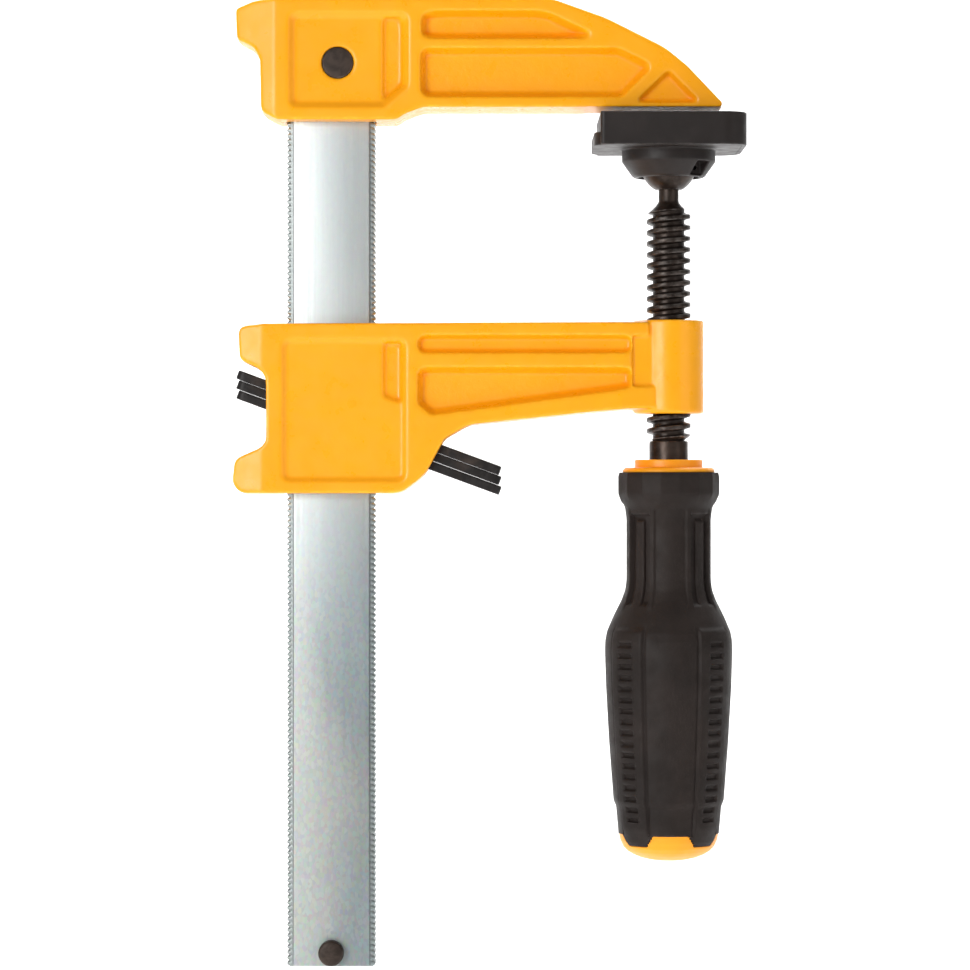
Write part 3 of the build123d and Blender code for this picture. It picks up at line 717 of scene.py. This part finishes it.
# Each shown mesh: the body it rides on, its material slot, the CAD nodes it stands for, its curvature reach
PIECES = [
    (softened("fixed_head", "fixed_head_casting", *CASTING), "frame", "cast_paint", ["fixed_head"], 1.6),
    (softened("sliding_arm", "sliding_arm_casting", *CASTING), "arm", "cast_paint", ["sliding_arm"], 1.6),
    (bar_mesh(), "frame", "bar_steel", ["bar"], 0.5),
    (pin_mesh("head_pin_rivet", "head_pin", 0.35, 0.1), "frame", "dark_steel", ["head_pin"], 0.6),
    (pin_mesh("stop_pin_rivet", "stop_pin", 0.5, 0.25), "frame", "dark_steel", ["stop_pin"], 0.6),
    *[(softened(f"clutch_plate_{place}", f"clutch_plate_{name}", *PLATE), f"clutch_{place}", "plate_steel",
       [f"clutch_plate_{place}"], 0.5) for place, name in PLATES],
    (spring_mesh(), "arm", "spring_steel", ["clutch_spring"], 0.5),
    (spindle_mesh(), "screw", "screw_steel", ["spindle"], 0.5),
    (softened("swivel_ball", "swivel_ball_bush", *TURNED), "swivel", "screw_steel", ["swivel_ball"], 0.6),
    (softened("thrust_cap", "thrust_cap_crown", *TURNED), "thrust", "spring_steel", ["thrust_cap"], 0.6),
    (softened("ball_retainer", "ball_retainer_ring", 0.12, 2), "retainer", "spring_steel",
     ["ball_retainer"], 0.6),
    (softened("pad_body", "pad_cup", 0.28, 3), "pad", "pad_plastic", ["pad_body"], 0.7),
    (softened("pad_face", "pad_cap", 0.28, 4), "pad", "pad_plastic", ["pad_face"], 0.7),
    (core_mesh(), "screw", "core_plastic", ["handle_core"], 0.7),
    (grip_mesh(), "screw", "grip_rubber", ["handle_grip"], 0.7),
]

shown = {}
for mesh, body, slot, nodes, reach in PIECES:
    mark_curvature(mesh, reach)
    mesh.materials.append(FINISHES[slot])
    shown[mesh.name] = new_piece(mesh.name, mesh, body, slot, *nodes)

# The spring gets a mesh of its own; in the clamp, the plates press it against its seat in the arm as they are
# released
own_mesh(shown["spring_coil"])

handle_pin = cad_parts["handle_pin"]
handle_pin.data.materials.clear()
handle_pin.data.materials.append(FINISHES["spring_steel"])


# ---------------------------------------------------------------- stage, light and camera

def stage_mesh(floor_z):
    """Floor and backdrop in one sweep."""
    near, far, height, bend, half, bend_steps = -2.4, 1.6, 2.6, 0.9, 3.2, 12
    side = [(near, floor_z)]
    for step in range(bend_steps + 1):
        angle = math.radians(90 * step / bend_steps)
        side.append((far - bend + bend * math.sin(angle), floor_z + bend - bend * math.cos(angle)))
    side.append((far, floor_z + height))
    points = [(x, y, z) for x in (-half, half) for y, z in side]
    count = len(side)
    faces = [(i, i + 1, count + i + 1, count + i) for i in range(count - 1)]
    mesh = bpy.data.meshes.new("sweep")
    mesh.from_pydata(points, [], faces)
    mesh.polygons.foreach_set("use_smooth", [True] * len(mesh.polygons))
    return mesh


def paper():
    """Matt white paper of the sweep."""
    f = Finish("white_paper")
    colour = f.mix(f.noise(3, 3, 0.5), (0.93, 0.93, 0.93), (0.96, 0.96, 0.96))
    f.bump(f.noise(300, 3, 0.5), 0.05, 0.3)
    return f.finish(colour, 0.85, Specular_IOR_Level=0.1)


def area_light(name, place, target, size, power):
    """A soft box. Its size is in metres and its power in watts."""
    light = bpy.data.lights.new(name, "AREA")
    light.shape = "RECTANGLE"
    light.size, light.size_y = size
    light.energy = power
    lamp = bpy.data.objects.new(name, light)
    bpy.context.scene.collection.objects.link(lamp)
    lamp.location = place
    lamp.rotation_euler = (Vector(target) - Vector(place)).to_track_quat("-Z", "Y").to_euler()


# The floor lies below the handle's lowest reach, with the arm down at the stop pin and the screw run back
FLOOR_DROP = 0.14
floor_z = cad_box[0][2] - FLOOR_DROP
sweep = bpy.data.objects.new("sweep", stage_mesh(floor_z))
bpy.context.scene.collection.objects.link(sweep)
sweep.data.materials.append(paper())

middle = tuple((a + b) / 2 for a, b in zip(*cad_box))
area_light("key", (middle[0] - 0.75, -1.2, middle[2] + 0.2), middle, (0.7, 0.55), 11.5)
area_light("fill", (middle[0] + 1.2, -0.9, middle[2] + 0.1), middle, (0.8, 1.2), 3)
area_light("rear", (middle[0] + 0.3, 1.0, middle[2] + 1.5), middle, (1.0, 1.0), 9)
area_light("sweep_wash", (middle[0], 0.5, middle[2] + 1.9), (middle[0], 1.3, middle[2]), (2.4, 0.8), 62)

WORLD_STRENGTH = 0.26
world = bpy.data.worlds.new("studio")
world.use_nodes = True
world.node_tree.nodes["Background"].inputs["Color"].default_value = (1, 1, 1, 1)
world.node_tree.nodes["Background"].inputs["Strength"].default_value = WORLD_STRENGTH
bpy.context.scene.world = world
bpy.context.scene.view_settings.view_transform = "Standard"

# The camera looks straight at the front from 1.15 m, with 280 mm of the clamp's plane across the frame
VIEW_CENTRE, VIEW_DISTANCE, VIEW_WIDTH, SENSOR = (-0.0530, -0.1082), 1.15, 0.280, 36
camera = bpy.data.objects.new("camera", bpy.data.cameras.new("camera"))
camera.data.sensor_width = SENSOR
camera.data.lens = SENSOR * VIEW_DISTANCE / VIEW_WIDTH
camera.location = (VIEW_CENTRE[0], -VIEW_DISTANCE, VIEW_CENTRE[1])
camera.rotation_euler = (math.radians(90), 0, 0)
bpy.context.scene.collection.objects.link(camera)
bpy.context.scene.camera = camera
